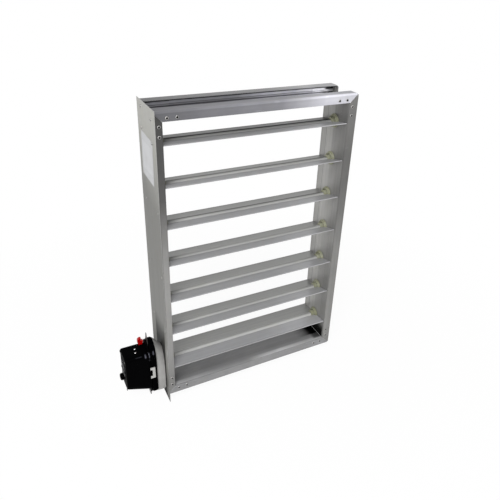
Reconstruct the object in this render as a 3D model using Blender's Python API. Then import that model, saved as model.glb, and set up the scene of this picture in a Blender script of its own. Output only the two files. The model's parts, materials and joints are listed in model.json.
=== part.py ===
"""Rectangular zone damper: mitred channel frame, parallel blades, side link drive and a rotary actuator.

Units are metres.  X runs across the airway, Y along the air flow and Z up.  The origin is on the
rear duct face, at the middle of the bottom rail's flange.
"""
import math

import bmesh
import bpy
from mathutils import Matrix, Vector

# Airway and frame
BLADE_COUNT = 7
BLADE_PITCH = 0.100
END_MARGIN = 0.008          # airway beyond the last half pitch, at the top and at the bottom
AIRWAY_WIDTH = 0.462
DEPTH = 0.110
FLANGE = 0.023              # height of the top, bottom and right duct flanges
DRIVE_FLANGE = 0.015        # height of the flange on the drive side
WALL = 0.0018
LIP = 0.025                 # width of the return lips on the outside
CORNER_RADIUS = 0.008       # rounded outer corners of the frame
BEND_RADIUS = 0.0012
STEP_DEPTH = 0.0006         # the web's middle band stands back from the airway by this much
STEP_MARGIN = 0.029         # from a duct face to the edge of that band

# Clearances
SEAT = 0.0003               # between pieces that touch
RUN = 0.0009                # between a blade's end and the web

# Blades
CHORD = 0.105
WING = 0.0014
EDGE_THICKNESS = 0.0024
EDGE_WIDTH = 0.005
EDGE_ROUNDING = 0.9         # tip radius as a share of half the edge's thickness
WING_OFFSET = 0.0016        # front wing lies below the axis by this much, rear wing above it
TUBE_RADIUS = 0.0058
RIDGE_HALF_WIDTH = 0.0090   # where the ridge's flanks meet the wings
DRIVE_TILT = -5.0           # rest angles in degrees; the front edge is up when negative
FOLLOWER_TILTS = (-15.0, -12.8, -15.2, -12.1, -13.3, -9.3)      # from the bottom up

# Blade hubs
HUB_RADIUS = 0.018
HUB_THICKNESS = 0.0018      # flange against the web
BARREL_RADIUS = 0.0098
BARREL_LENGTH = 0.0125
COLLAR_RADIUS = 0.0155      # ring on the flange, open inside
COLLAR_INNER_RADIUS = 0.0124
COLLAR_THICKNESS = 0.0042
COLLAR_FLOOR = 0.0006       # bottom of the ring's inside, from the flange
JOURNAL_RADIUS = 0.008
JOURNAL_STANDOUT = 0.0006
SHAFT_RADIUS = 0.004
SPIGOT_LENGTH = 0.030

# Link drive in the side channel
CRANK_THROW = 0.025
CRANK_THICKNESS = 0.0035
CRANK_BOSS_RADIUS = 0.011
CRANK_TIP_RADIUS = 0.0065
CRANK_ANGLE = 31.0          # degrees above the rearward direction, at rest
PIN_RADIUS = 0.003
PIN_HEAD_RADIUS = 0.0046
PIN_HEAD_THICKNESS = 0.001
LINK_WIDTH = 0.013
LINK_THICKNESS = 0.002

# Corner cleats behind the duct flanges
CLEAT_LEG = 0.062
CLEAT_THICKNESS = 0.002
CLEAT_MARGIN = 0.0012

# Cover plate on the drive side
PLATE_THICKNESS = 0.0012
PLATE_DROP = 0.028          # below the bottom flange
PLATE_OVERHANG = 0.020      # behind the rear duct face
PLATE_HOLE_RADIUS = 0.009

# Actuator, measured from the drive shaft's axis
ADAPTER_THICKNESS = 0.022
ADAPTER_HALF_WIDTH = 0.028
ADAPTER_TOP_NEAR = 0.047    # at the cover plate
ADAPTER_TOP_FAR = 0.075     # at the actuator
ADAPTER_SHOULDER = 0.064    # height of the dome above its straight sides
ADAPTER_BOTTOM = 0.088
ADAPTER_CORNER = 0.012
BASE_THICKNESS = 0.014
BASE_HALF_WIDTH = 0.031
BASE_TOP = 0.073
BASE_SHOULDER = 0.056
BASE_BOTTOM = 0.083
BASE_CORNER = 0.014
DOME_POWER = 2.2            # above 2, the dome is fuller than an ellipse
RIB_COUNT = 3
RIB_WIDTH = 0.002
RIB_HEIGHT = 0.0015
BRACKET_THICKNESS = 0.0015
BRACKET_HALF_WIDTH = 0.011
BRACKET_TIP_HALF_WIDTH = 0.0025  # at its upper end
BRACKET_TAPER = 0.030       # height over which it narrows to that end
BRACKET_ROUNDING = 0.6      # corner radius as a share of the half width there
BRACKET_TOP = 0.097
BRACKET_BOTTOM = 0.108
HOUSING_LENGTH = 0.063
HOUSING_HALF_WIDTH = 0.0295
HOUSING_TOP = 0.050
HOUSING_BOTTOM_NEAR = 0.080
HOUSING_BOTTOM_FAR = 0.057
HOUSING_FLANGE = 0.0025     # thickness of the domed flange against the strap
HOUSING_CORNER = 0.010
HOUSING_FOOT = 0.022        # rounding of the lower front corner
HOUSING_EDGE = 0.004
DIAL_RADIUS = 0.019
DIAL_THICKNESS = 0.003
DIAL_STANDOUT = 0.0012
POINTER_WIDTH = 0.005
POINTER_STANDOUT = 0.0012
POINTER_MARGIN = 0.0019     # from the pointer's ends to the dial's rim
OUTPUT_RADIUS = 0.0115
OUTPUT_CLEARANCE = 0.0005
BUTTON_WIDTH = 0.015
BUTTON_DEPTH = 0.007
BUTTON_STANDOUT = 0.0205
BUTTON_SEATED = 0.010       # length of the button inside its pocket
BUTTON_TRAVEL = 0.005
BUTTON_HEAD = (             # shares of half the width and of the standout, corner radius in half widths
    (0.7, 0.25, 0), (1, 0.35, 0.2), (1, 0.62, 0.25), (0.1, 0.5, 0.2), (0.35, 1, 0.25), (-1, 1, 0.9),
    (-1, 0.3, 0.3), (-0.7, 0.2, 0))
BUTTON_BEHIND = 0.0205      # behind the shaft's axis
BUTTON_INSET = 0.0108       # from the bracket to the button's middle
CLIP_HEIGHT = 0.035
CLIP_WIDTH = 0.0125
CLIP_THICKNESS = 0.002
CLIP_BAR = 0.0072
CLIP_CORNER = 0.001
CLIP_INSET = 0.0058         # from the adapter to the clip's spine
CLIP_BELOW = 0.0095         # clip's middle, below the shaft's axis
GLAND_RADIUS = 0.0095
GLAND_LENGTH = 0.008
GLAND_TIP_RADIUS = 0.0076
GLAND_BORE_RADIUS = 0.00475
GLAND_BELOW = 0.036
GLAND_BEHIND = 0.014

SEGMENTS = 16
SMOOTH_ANGLE = math.radians(35)

# Sizes that follow
AIRWAY_HEIGHT = BLADE_COUNT * BLADE_PITCH + 2 * END_MARGIN
MIDDLE_Y = -DEPTH / 2
BOTTOM_FACE = FLANGE / 2
TOP_FACE = BOTTOM_FACE + AIRWAY_HEIGHT
HALF_WIDTH = AIRWAY_WIDTH / 2
DRIVE_SIDE = -HALF_WIDTH - DRIVE_FLANGE
PLATE_INNER = DRIVE_SIDE - SEAT
PLATE_OUTER = PLATE_INNER - PLATE_THICKNESS
BLADE_END = HALF_WIDTH - RUN
HUB_FACE = BLADE_END - HUB_THICKNESS
BARREL_FACE = HUB_FACE - BARREL_LENGTH
TUBE_BORE = SHAFT_RADIUS + SEAT
CRANK_INNER = HALF_WIDTH + WALL + STEP_DEPTH + JOURNAL_STANDOUT + SEAT
CRANK_OUTER = CRANK_INNER + CRANK_THICKNESS
LINK_INNER = CRANK_OUTER + SEAT
LINK_OUTER = LINK_INNER + LINK_THICKNESS
PIN_END = LINK_OUTER + SEAT + PIN_HEAD_THICKNESS
ADAPTER_NEAR = PLATE_OUTER - SEAT
BASE_NEAR = ADAPTER_NEAR - ADAPTER_THICKNESS - SEAT
BRACKET_NEAR = BASE_NEAR - BASE_THICKNESS - SEAT
HOUSING_NEAR = BRACKET_NEAR - BRACKET_THICKNESS - SEAT
HOUSING_FAR = HOUSING_NEAR - HOUSING_LENGTH
DIAL_SEAT = HOUSING_FAR + DIAL_THICKNESS
SHAFT_END = DIAL_SEAT + 2 * SEAT
OUTPUT_BORE = OUTPUT_RADIUS + OUTPUT_CLEARANCE
POINTER_REACH = DIAL_RADIUS - POINTER_MARGIN
DRIVE_Z = BOTTOM_FACE + END_MARGIN + BLADE_PITCH / 2


def axis_z(index):
    """Height of a blade's axis; index 0 is the bottom blade."""
    return DRIVE_Z + index * BLADE_PITCH


def rest_tilt(index):
    """Rest angle of a blade in radians."""
    if index == 0:
        return math.radians(DRIVE_TILT)
    return math.radians(FOLLOWER_TILTS[(index - 1) % len(FOLLOWER_TILTS)])


def make_material(name, color, roughness, metallic=0.0):
    material = bpy.data.materials.new(name)
    material.use_nodes = True
    shader = material.node_tree.nodes["Principled BSDF"]
    shader.inputs["Base Color"].default_value = (*color, 1.0)
    shader.inputs["Roughness"].default_value = roughness
    shader.inputs["Metallic"].default_value = metallic
    return material


ALUMINIUM = (0.62, 0.62, 0.61)
STEEL = (0.50, 0.50, 0.50)
NYLON = (0.72, 0.71, 0.52)
BLACK_PLASTIC = (0.012, 0.012, 0.014)
GREY_PLASTIC = (0.45, 0.44, 0.42)
PALE_PLASTIC = (0.72, 0.72, 0.69)
RED_PLASTIC = (0.55, 0.01, 0.01)


def finish(name, bm, color, roughness, metallic=0.0, parent=None, location=(0, 0, 0), turn=0.0):
    """Close a mesh into a named object with its own material."""
    bmesh.ops.recalc_face_normals(bm, faces=bm.faces)
    mesh = bpy.data.meshes.new(name)
    bm.to_mesh(mesh)
    bm.free()
    mesh.shade_smooth()
    mesh.set_sharp_from_angle(angle=SMOOTH_ANGLE)
    mesh.materials.append(make_material(name, color, roughness, metallic))
    piece = bpy.data.objects.new(name, mesh)
    bpy.context.collection.objects.link(piece)
    piece.location = location
    piece.rotation_euler = (turn, 0, 0)
    piece.parent = parent
    return piece


def combine(piece, others, operation):
    """Apply one Boolean of loose meshes that stand apart, given in the piece's own space."""
    tool_mesh = bpy.data.meshes.new("tool")
    joined = bmesh.new()
    for other in others:
        bmesh.ops.recalc_face_normals(other, faces=other.faces)
        other.to_mesh(tool_mesh)
        other.free()
        joined.from_mesh(tool_mesh)
    joined.to_mesh(tool_mesh)
    joined.free()
    tool = bpy.data.objects.new("tool", tool_mesh)
    bpy.context.collection.objects.link(tool)
    holder, place, turn = piece.parent, piece.location.copy(), piece.rotation_euler.copy()
    piece.parent, piece.location, piece.rotation_euler = None, (0, 0, 0), (0, 0, 0)
    modifier = piece.modifiers.new("shape", "BOOLEAN")
    modifier.operation = operation
    modifier.solver = "EXACT"
    modifier.object = tool
    bpy.context.view_layer.update()
    evaluated = piece.evaluated_get(bpy.context.evaluated_depsgraph_get())
    result = bpy.data.meshes.new_from_object(evaluated)
    piece.modifiers.clear()
    piece.data = result
    piece.parent, piece.location, piece.rotation_euler = holder, place, turn
    bpy.data.objects.remove(tool)
    piece.data.shade_smooth()
    piece.data.set_sharp_from_angle(angle=SMOOTH_ANGLE)
    return piece


def circle(radius, segments=SEGMENTS, center=(0.0, 0.0)):
    step = 2 * math.pi / segments
    return [(center[0] + radius * math.cos(step * k), center[1] + radius * math.sin(step * k))
            for k in range(segments)]


def fillet(points, radii, steps=4):
    """Round the corners of a closed outline; radii holds one radius for each point."""
    outline = []
    for index, (point, radius) in enumerate(zip(points, radii)):
        corner = Vector(point)
        if radius <= 0:
            outline.append(tuple(corner))
            continue
        before = (Vector(points[index - 1]) - corner).normalized()
        after = (Vector(points[(index + 1) % len(points)]) - corner).normalized()
        half = before.angle(after) / 2
        reach = radius / math.tan(half)
        center = corner + (before + after).normalized() * radius / math.sin(half)
        start = corner + before * reach - center
        end = corner + after * reach - center
        sweep = start.angle_signed(end)
        for step in range(steps + 1):
            turned = start.copy()
            turned.rotate(Matrix.Rotation(-sweep * step / steps, 2))
            outline.append(tuple(center + turned))
    return outline


def domed(half_width, top, bottom, foot, shoulder, power=2.0, steps=8):
    """Outline with rounded lower corners, straight sides and a dome that is shoulder high."""
    ends = [(-half_width, -bottom), (half_width, -bottom), (half_width, 0), (-half_width, 0)]
    outline = fillet(ends, [foot, foot, 0, 0], steps=5)[:-2]
    for step in range(2 * steps + 1):
        angle = math.pi / 2 * step / steps
        across = abs(math.cos(angle)) ** (2 / power)
        rise = math.sin(angle) ** (2 / power) if 0 < step < 2 * steps else 0.0
        side = 1 if step < steps else -1
        outline.append((side * half_width * across, top - shoulder * (1 - rise)))
    return outline


def prism(outline, low, high, place, holes=()):
    """Solid between two levels; place maps (a, b, level) to a point."""
    bm = bmesh.new()
    rings = []
    for level in (low, high):
        edges = []
        for loop in (outline, *holes):
            verts = [bm.verts.new(place(a, b, level)) for a, b in loop]
            edges.append([bm.edges.new((verts[k - 1], verts[k])) for k in range(len(verts))])
        rings.append(edges)
    for lower, upper in zip(*rings):
        bmesh.ops.bridge_loops(bm, edges=lower + upper)
    for edges in rings:
        bmesh.ops.triangle_fill(bm, use_beauty=True, edges=[edge for loop in edges for edge in loop])
    return bm


def loft(sections):
    """Solid through sections with equally many points each, capped at both ends."""
    bm = bmesh.new()
    rings = [[bm.verts.new(point) for point in section] for section in sections]
    count = len(rings[0])
    for first, second in zip(rings, rings[1:]):
        for k in range(count):
            bm.faces.new([first[k], first[(k + 1) % count], second[(k + 1) % count], second[k]])
    bm.faces.new(rings[0])
    bm.faces.new(rings[-1])
    return bm


def on_x(a, b, level):
    return (level, a, b)


def on_y(a, b, level):
    return (a, level, b)


def turned(profile, segments=SEGMENTS):
    """Solid of revolution about X from (x, radius) points; zero radius closes an end."""
    bm = bmesh.new()
    rings = []
    for x, radius in profile:
        if radius == 0:
            rings.append([bm.verts.new((x, 0, 0))])
        else:
            rings.append([bm.verts.new((x, a, b)) for a, b in circle(radius, segments)])
    solid_ends = len(rings[0]) == 1
    pairs = list(zip(rings, rings[1:])) if solid_ends else list(zip(rings, rings[1:] + rings[:1]))
    for first, second in pairs:
        for k in range(segments):
            corners = [first[k % len(first)], first[(k + 1) % len(first)],
                       second[(k + 1) % len(second)], second[k % len(second)]]
            bm.faces.new(list(dict.fromkeys(corners)))
    return bm


def cylinder(radius, low, high, y=0.0, z=0.0, segments=SEGMENTS):
    """Loose solid cylinder along X."""
    bm = turned([(low, 0), (low, radius), (high, radius), (high, 0)], segments)
    bmesh.ops.translate(bm, verts=bm.verts, vec=(0, y, z))
    return bm


def box(low, high):
    """Loose solid box between two corners."""
    bm = bmesh.new()
    size = Vector(high) - Vector(low)
    middle = (Vector(high) + Vector(low)) / 2
    matrix = Matrix.Translation(middle) @ Matrix.Diagonal((*size, 1.0))
    bmesh.ops.create_cube(bm, size=1.0, matrix=matrix)
    return bm


# Frame

def rail_profile(flange):
    """Channel section: (outward distance from the airway, depth)."""
    inner = flange - WALL
    points = [
        (0, -DEPTH), (flange, -DEPTH), (flange, -DEPTH + LIP), (inner, -DEPTH + LIP),
        (inner, -DEPTH + WALL), (WALL, -DEPTH + WALL),
        (WALL, -DEPTH + STEP_MARGIN), (WALL + STEP_DEPTH, -DEPTH + STEP_MARGIN),
        (WALL + STEP_DEPTH, -STEP_MARGIN), (WALL, -STEP_MARGIN),
        (WALL, -WALL), (inner, -WALL), (inner, -LIP), (flange, -LIP), (flange, 0), (0, 0),
        (0, -STEP_MARGIN), (STEP_DEPTH, -STEP_MARGIN),
        (STEP_DEPTH, -DEPTH + STEP_MARGIN), (0, -DEPTH + STEP_MARGIN),
    ]
    bends = {0, 1, 14, 15}
    return fillet(points, [BEND_RADIUS if k in bends else 0 for k in range(len(points))], steps=3)


def mitred_rail(name, flange, half_length, place):
    """Rail cut at 45 degrees at both ends; place maps (along, outward, depth) to a point."""
    saw = SEAT / math.sqrt(2)
    ends = [[place(side * (half_length + u - saw), u, v) for u, v in rail_profile(flange)] for side in (-1, 1)]
    return finish(name, loft(ends), ALUMINIUM, 0.38, 1.0)


def corner_cutter(x_corner, z_corner, x_side, z_side):
    """Loose solid that rounds one outer corner of the frame."""
    reach = 3 * CORNER_RADIUS
    cx = x_corner - x_side * CORNER_RADIUS
    cz = z_corner - z_side * CORNER_RADIUS
    arc = []
    for step in range(7):
        angle = math.pi / 2 * step / 6
        arc.append((cx + x_side * CORNER_RADIUS * math.cos(angle),
                    cz + z_side * CORNER_RADIUS * math.sin(angle)))
    outline = arc + [(cx, z_corner + z_side * reach), (x_corner + x_side * reach, z_corner + z_side * reach),
                     (x_corner + x_side * reach, cz)]
    return prism(outline, -DEPTH - reach, reach, on_y)


def build_frame():
    middle_z = (BOTTOM_FACE + TOP_FACE) / 2
    top = mitred_rail("top_rail", FLANGE, HALF_WIDTH, lambda t, u, v: (t, v, TOP_FACE + u))
    bottom = mitred_rail("bottom_rail", FLANGE, HALF_WIDTH, lambda t, u, v: (t, v, BOTTOM_FACE - u))
    half_height = AIRWAY_HEIGHT / 2
    left = mitred_rail("drive_side_rail", DRIVE_FLANGE, half_height,
                       lambda t, u, v: (-HALF_WIDTH - u, v, middle_z + t))
    right = mitred_rail("idle_side_rail", FLANGE, half_height,
                        lambda t, u, v: (HALF_WIDTH + u, v, middle_z + t))
    high = TOP_FACE + FLANGE
    low = BOTTOM_FACE - FLANGE
    far_right = HALF_WIDTH + FLANGE
    beyond = 2 * FLANGE
    for rail, level, side in ((top, high, 1), (bottom, low, -1)):
        trim = box((DRIVE_SIDE - beyond, -DEPTH - beyond, level - beyond),
                   (DRIVE_SIDE, beyond, level + beyond))
        combine(rail, [trim, corner_cutter(far_right, level, 1, side)], "DIFFERENCE")
        combine(right, [corner_cutter(far_right, level, 1, side)], "DIFFERENCE")
    for rail, side in ((left, -1), (right, 1)):
        near = side * (HALF_WIDTH - WALL)
        far = side * (HALF_WIDTH + 3 * WALL)
        holes = [cylinder(JOURNAL_RADIUS + SEAT, min(near, far), max(near, far), MIDDLE_Y, axis_z(k))
                 for k in range(BLADE_COUNT)]
        combine(rail, holes, "DIFFERENCE")


def build_cleats():
    """Flat corner cleats, riveted behind the front and rear duct flanges."""
    for x_side, x_name, flange in ((-1, "left", DRIVE_FLANGE), (1, "right", FLANGE)):
        for z_side, z_name, face in ((-1, "bottom", BOTTOM_FACE), (1, "top", TOP_FACE)):
            x_inner = x_side * (HALF_WIDTH + WALL + CLEAT_MARGIN)
            x_outer = x_side * (HALF_WIDTH + flange - WALL - SEAT)
            z_inner = face + z_side * (WALL + CLEAT_MARGIN)
            z_outer = face + z_side * (FLANGE - WALL - SEAT)
            x_end = x_outer - x_side * CLEAT_LEG
            z_end = z_outer - z_side * CLEAT_LEG
            outline = [(x_outer, z_outer), (x_end, z_outer), (x_end, z_inner), (x_inner, z_inner),
                       (x_inner, z_end), (x_outer, z_end)]
            outline = fillet(outline, [CORNER_RADIUS] + [BEND_RADIUS] * 5)
            for y_name, seat, inward in (("front", -DEPTH + WALL + SEAT, 1), ("rear", -WALL - SEAT, -1)):
                levels = sorted((seat, seat + inward * CLEAT_THICKNESS))
                bm = prism(outline, *levels, on_y)
                finish(f"cleat_{y_name}_{z_name}_{x_name}", bm, STEEL, 0.45, 1.0)


def build_cover_plate():
    low = BOTTOM_FACE - FLANGE - PLATE_DROP
    high = TOP_FACE + FLANGE
    outline = [(-DEPTH, low), (PLATE_OVERHANG, low), (PLATE_OVERHANG, high), (-DEPTH, high)]
    hole = circle(PLATE_HOLE_RADIUS, center=(MIDDLE_Y, DRIVE_Z))
    bm = prism(outline, PLATE_OUTER, PLATE_INNER, on_x, holes=[hole])
    finish("cover_plate", bm, ALUMINIUM, 0.42, 1.0)


# Blades and hubs

def blade_profile():
    """Extruded section: two offset wings on a ridged tube, with thickened edges."""
    edge = EDGE_THICKNESS / 2
    skin = WING / 2
    front = -WING_OFFSET
    rear = WING_OFFSET
    upper = [(-CHORD / 2, front + edge), (-CHORD / 2 + EDGE_WIDTH, front + edge),
             (-CHORD / 2 + EDGE_WIDTH + edge, front + skin)]
    foot_front = Vector((-RIDGE_HALF_WIDTH, front + skin))
    foot_rear = Vector((RIDGE_HALF_WIDTH, rear + skin))
    upper.append(tuple(foot_front))
    start = 2 * math.pi + math.atan2(foot_front.y, foot_front.x) - math.acos(TUBE_RADIUS / foot_front.length)
    end = math.atan2(foot_rear.y, foot_rear.x) + math.acos(TUBE_RADIUS / foot_rear.length)
    steps = SEGMENTS // 4
    for step in range(steps + 1):
        angle = start + (end - start) * step / steps
        upper.append((TUBE_RADIUS * math.cos(angle), TUBE_RADIUS * math.sin(angle)))
    upper.append(tuple(foot_rear))
    upper += [(CHORD / 2 - EDGE_WIDTH - edge, rear + skin), (CHORD / 2 - EDGE_WIDTH, rear + edge),
              (CHORD / 2, rear + edge)]
    outline = upper + [(-y, -z) for y, z in upper]
    tips = {0, len(upper) - 1, len(upper), 2 * len(upper) - 1}
    return fillet(outline, [edge * EDGE_ROUNDING if k in tips else 0 for k in range(len(outline))], steps=3)


def hub_notch():
    """Loose stepped solid that clears the blade round the hub at its +X end."""
    steps = ((BARREL_RADIUS, BARREL_FACE), (COLLAR_RADIUS, HUB_FACE - COLLAR_THICKNESS), (HUB_RADIUS, HUB_FACE))
    profile = [(BARREL_FACE - SEAT, 0)]
    for radius, face in steps:
        if len(profile) > 1:
            profile.append((face - SEAT, profile[-1][1]))
        profile.append((face - SEAT, radius + SEAT))
    beyond = BLADE_END + HUB_THICKNESS
    return profile + [(beyond, HUB_RADIUS + SEAT), (beyond, 0)]


def build_blade(number, pivot, tilt):
    bm = prism(blade_profile(), -BLADE_END, BLADE_END, on_x, holes=[circle(TUBE_BORE)])
    blade = finish(f"blade_{number}", bm, ALUMINIUM, 0.36, 1.0, parent=pivot, turn=tilt)
    combine(blade, [turned(hub_notch()), turned(mirrored(hub_notch()))], "DIFFERENCE")


def hub_profile(tail, tail_radius):
    """Moulded hub pointing to +X: spigot, barrel, ring, flange, journal and a tail."""
    journal_end = HALF_WIDTH + WALL + STEP_DEPTH + JOURNAL_STANDOUT
    collar_face = HUB_FACE - COLLAR_THICKNESS
    floor = HUB_FACE - COLLAR_FLOOR
    profile = [(BARREL_FACE - SPIGOT_LENGTH, 0), (BARREL_FACE - SPIGOT_LENGTH, SHAFT_RADIUS),
               (BARREL_FACE, SHAFT_RADIUS), (BARREL_FACE, BARREL_RADIUS),
               (floor, BARREL_RADIUS), (floor, COLLAR_INNER_RADIUS),
               (collar_face, COLLAR_INNER_RADIUS), (collar_face, COLLAR_RADIUS),
               (HUB_FACE, COLLAR_RADIUS), (HUB_FACE, HUB_RADIUS), (BLADE_END, HUB_RADIUS),
               (BLADE_END, JOURNAL_RADIUS), (journal_end, JOURNAL_RADIUS)]
    if tail > journal_end:
        profile += [(journal_end, tail_radius), (tail, tail_radius), (tail, 0)]
    else:
        profile.append((journal_end, 0))
    return profile


def mirrored(profile):
    return [(-x, radius) for x, radius in profile]


def build_hubs(number, pivot, tilt):
    idle = turned(hub_profile(0, 0))
    finish(f"idle_hub_{number}", idle, NYLON, 0.45, parent=pivot, turn=tilt)
    drive_end = CRANK_OUTER if number > 1 else 0
    drive = finish(f"drive_hub_{number}", turned(mirrored(hub_profile(drive_end, SHAFT_RADIUS))),
                   NYLON, 0.45, parent=pivot, turn=tilt)
    if number == 1:
        combine(drive, [cylinder(SHAFT_RADIUS + SEAT, -PLATE_THICKNESS - 2 * HALF_WIDTH, 0)], "DIFFERENCE")


# Link drive

def crank_outline():
    """Outline of a crank: two round ends joined by their tangents, the pin towards +Y."""
    lean = math.acos((CRANK_BOSS_RADIUS - CRANK_TIP_RADIUS) / CRANK_THROW)
    outline = []
    steps = SEGMENTS // 2
    for step in range(steps + 1):
        angle = lean + (2 * math.pi - 2 * lean) * step / steps
        outline.append((CRANK_BOSS_RADIUS * math.cos(angle), CRANK_BOSS_RADIUS * math.sin(angle)))
    for step in range(steps + 1):
        angle = -lean + 2 * lean * step / steps
        outline.append((CRANK_THROW + CRANK_TIP_RADIUS * math.cos(angle), CRANK_TIP_RADIUS * math.sin(angle)))
    return outline


def build_crank(number, pivot):
    bm = prism(crank_outline(), -CRANK_OUTER, -CRANK_INNER, on_x, holes=[circle(SHAFT_RADIUS + SEAT)])
    crank = finish(f"crank_{number}", bm, STEEL, 0.4, 1.0, parent=pivot, turn=math.radians(CRANK_ANGLE))
    root = -CRANK_OUTER + CRANK_THICKNESS / 2
    neck = -PIN_END + PIN_HEAD_THICKNESS
    pin = turned([(root, 0), (root, PIN_RADIUS), (neck, PIN_RADIUS), (neck, PIN_HEAD_RADIUS),
                  (-PIN_END, PIN_HEAD_RADIUS), (-PIN_END, 0)])
    bmesh.ops.translate(pin, verts=pin.verts, vec=(0, CRANK_THROW, 0))
    combine(crank, [pin], "UNION")


def pin_offset():
    angle = math.radians(CRANK_ANGLE)
    return CRANK_THROW * math.cos(angle), CRANK_THROW * math.sin(angle)


def build_link():
    """Flat bar that joins every crank pin; its origin is on the bottom pin."""
    length = (BLADE_COUNT - 1) * BLADE_PITCH
    half = LINK_WIDTH / 2
    steps = SEGMENTS // 2
    lower = [(half * math.cos(a), half * math.sin(a))
             for a in (math.pi + math.pi * step / steps for step in range(steps + 1))]
    upper = [(half * math.cos(a), length + half * math.sin(a))
             for a in (math.pi * step / steps for step in range(steps + 1))]
    holes = [circle(PIN_RADIUS + SEAT, center=(0, k * BLADE_PITCH)) for k in range(BLADE_COUNT)]
    bm = prism(lower + upper, -LINK_OUTER, -LINK_INNER, on_x, holes=holes)
    across, up = pin_offset()
    finish("link_bar", bm, STEEL, 0.4, 1.0, location=(0, MIDDLE_Y + across, DRIVE_Z + up))


# Actuator

def adapter_section(x, top):
    outline = domed(ADAPTER_HALF_WIDTH, top, ADAPTER_BOTTOM, ADAPTER_CORNER, ADAPTER_SHOULDER)
    return [(x, a, b) for a, b in outline]


def build_adapter(pivot):
    """Grey spacer between the cover plate and the actuator; its domed top slopes down to the plate."""
    far = ADAPTER_NEAR - ADAPTER_THICKNESS
    bm = loft([adapter_section(far, ADAPTER_TOP_FAR), adapter_section(ADAPTER_NEAR, ADAPTER_TOP_NEAR)])
    adapter = finish("mounting_adapter", bm, GREY_PLASTIC, 0.5, parent=pivot)
    hole = cylinder(PLATE_HOLE_RADIUS, far - SHAFT_RADIUS, ADAPTER_NEAR + SHAFT_RADIUS)
    combine(adapter, [hole], "DIFFERENCE")


def case_outline(margin=0.0):
    """Domed outline that the base and the housing's flange share."""
    return domed(BASE_HALF_WIDTH + margin, BASE_TOP + margin, BASE_BOTTOM + margin, BASE_CORNER + margin,
                 BASE_SHOULDER, DOME_POWER)


def base_section(x, margin):
    return [(x, a, b) for a, b in case_outline(margin)]


def build_base(pivot):
    """Lower half of the actuator's case, with ribs all round."""
    far = BASE_NEAR - BASE_THICKNESS
    spacing = BASE_THICKNESS / (RIB_COUNT + 1)
    sections = [base_section(far, 0)]
    for k in range(RIB_COUNT):
        low = far + spacing * (k + 1) - RIB_WIDTH / 2
        high = low + RIB_WIDTH
        sections += [base_section(low, 0), base_section(low, RIB_HEIGHT),
                     base_section(high, RIB_HEIGHT), base_section(high, 0)]
    sections.append(base_section(BASE_NEAR, 0))
    base = finish("actuator_base", loft(sections), BLACK_PLASTIC, 0.35, parent=pivot)
    combine(base, [cylinder(OUTPUT_BORE, far - OUTPUT_BORE, BASE_NEAR + OUTPUT_BORE)], "DIFFERENCE")


def build_bracket(pivot):
    """Metal strap clamped between the two halves of the case."""
    w = BRACKET_HALF_WIDTH
    tip = BRACKET_TIP_HALF_WIDTH
    waist = BRACKET_TOP - BRACKET_TAPER
    outline = [(-w, -BRACKET_BOTTOM), (w, -BRACKET_BOTTOM), (w, waist), (tip, BRACKET_TOP),
               (-tip, BRACKET_TOP), (-w, waist)]
    foot_radius = w * BRACKET_ROUNDING
    tip_radius = tip * BRACKET_ROUNDING
    outline = fillet(outline, [foot_radius, foot_radius, w, tip_radius, tip_radius, w], steps=5)
    ring = OUTPUT_BORE + w / 2
    bm = prism(outline, BRACKET_NEAR - BRACKET_THICKNESS, BRACKET_NEAR, on_x)
    bracket = finish("anti_rotation_strap", bm, STEEL, 0.35, 1.0, parent=pivot)
    combine(bracket, [cylinder(ring, BRACKET_NEAR - BRACKET_THICKNESS, BRACKET_NEAR)], "UNION")
    combine(bracket, [cylinder(OUTPUT_BORE, BRACKET_NEAR - w, BRACKET_NEAR + w)], "DIFFERENCE")


def housing_section(x, bottom, inset):
    w = HOUSING_HALF_WIDTH - inset
    outline = [(-w, -bottom + inset), (w, -bottom + inset), (w, HOUSING_TOP - inset), (-w, HOUSING_TOP - inset)]
    radii = [HOUSING_FOOT - inset] + [HOUSING_CORNER - inset] * 3
    return [(x, a, b) for a, b in fillet(outline, radii, steps=5)]


def build_housing(pivot):
    """Upper half of the actuator's case, shorter at its far end, with bores and pockets."""
    lean = (HOUSING_BOTTOM_NEAR - HOUSING_BOTTOM_FAR) / HOUSING_LENGTH
    sections = [housing_section(HOUSING_NEAR, HOUSING_BOTTOM_NEAR, 0)]
    for step in range(4):
        angle = math.pi / 2 * step / 3
        back = HOUSING_EDGE * (1 - math.sin(angle))
        inset = HOUSING_EDGE * (1 - math.cos(angle))
        sections.append(housing_section(HOUSING_FAR + back, HOUSING_BOTTOM_FAR + lean * back, inset))
    housing = finish("actuator_housing", loft(sections), BLACK_PLASTIC, 0.35, parent=pivot)
    combine(housing, [prism(case_outline(), HOUSING_NEAR - HOUSING_FLANGE, HOUSING_NEAR, on_x)], "UNION")
    middle = HOUSING_NEAR - BUTTON_INSET
    pocket_depth = BUTTON_SEATED + BUTTON_TRAVEL + SEAT
    half_x = BUTTON_WIDTH / 2 + SEAT
    half_y = BUTTON_DEPTH / 2 + SEAT
    pocket = box((middle - half_x, BUTTON_BEHIND - half_y, HOUSING_TOP - pocket_depth),
                 (middle + half_x, BUTTON_BEHIND + half_y, HOUSING_TOP + BUTTON_DEPTH))
    bore = cylinder(OUTPUT_BORE, DIAL_SEAT - DIAL_THICKNESS / 2, HOUSING_NEAR + OUTPUT_BORE)
    recess = cylinder(DIAL_RADIUS + OUTPUT_CLEARANCE, HOUSING_FAR - DIAL_THICKNESS, DIAL_SEAT, segments=36)
    combine(housing, [pocket, bore], "DIFFERENCE")
    combine(housing, [recess], "DIFFERENCE")


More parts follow.
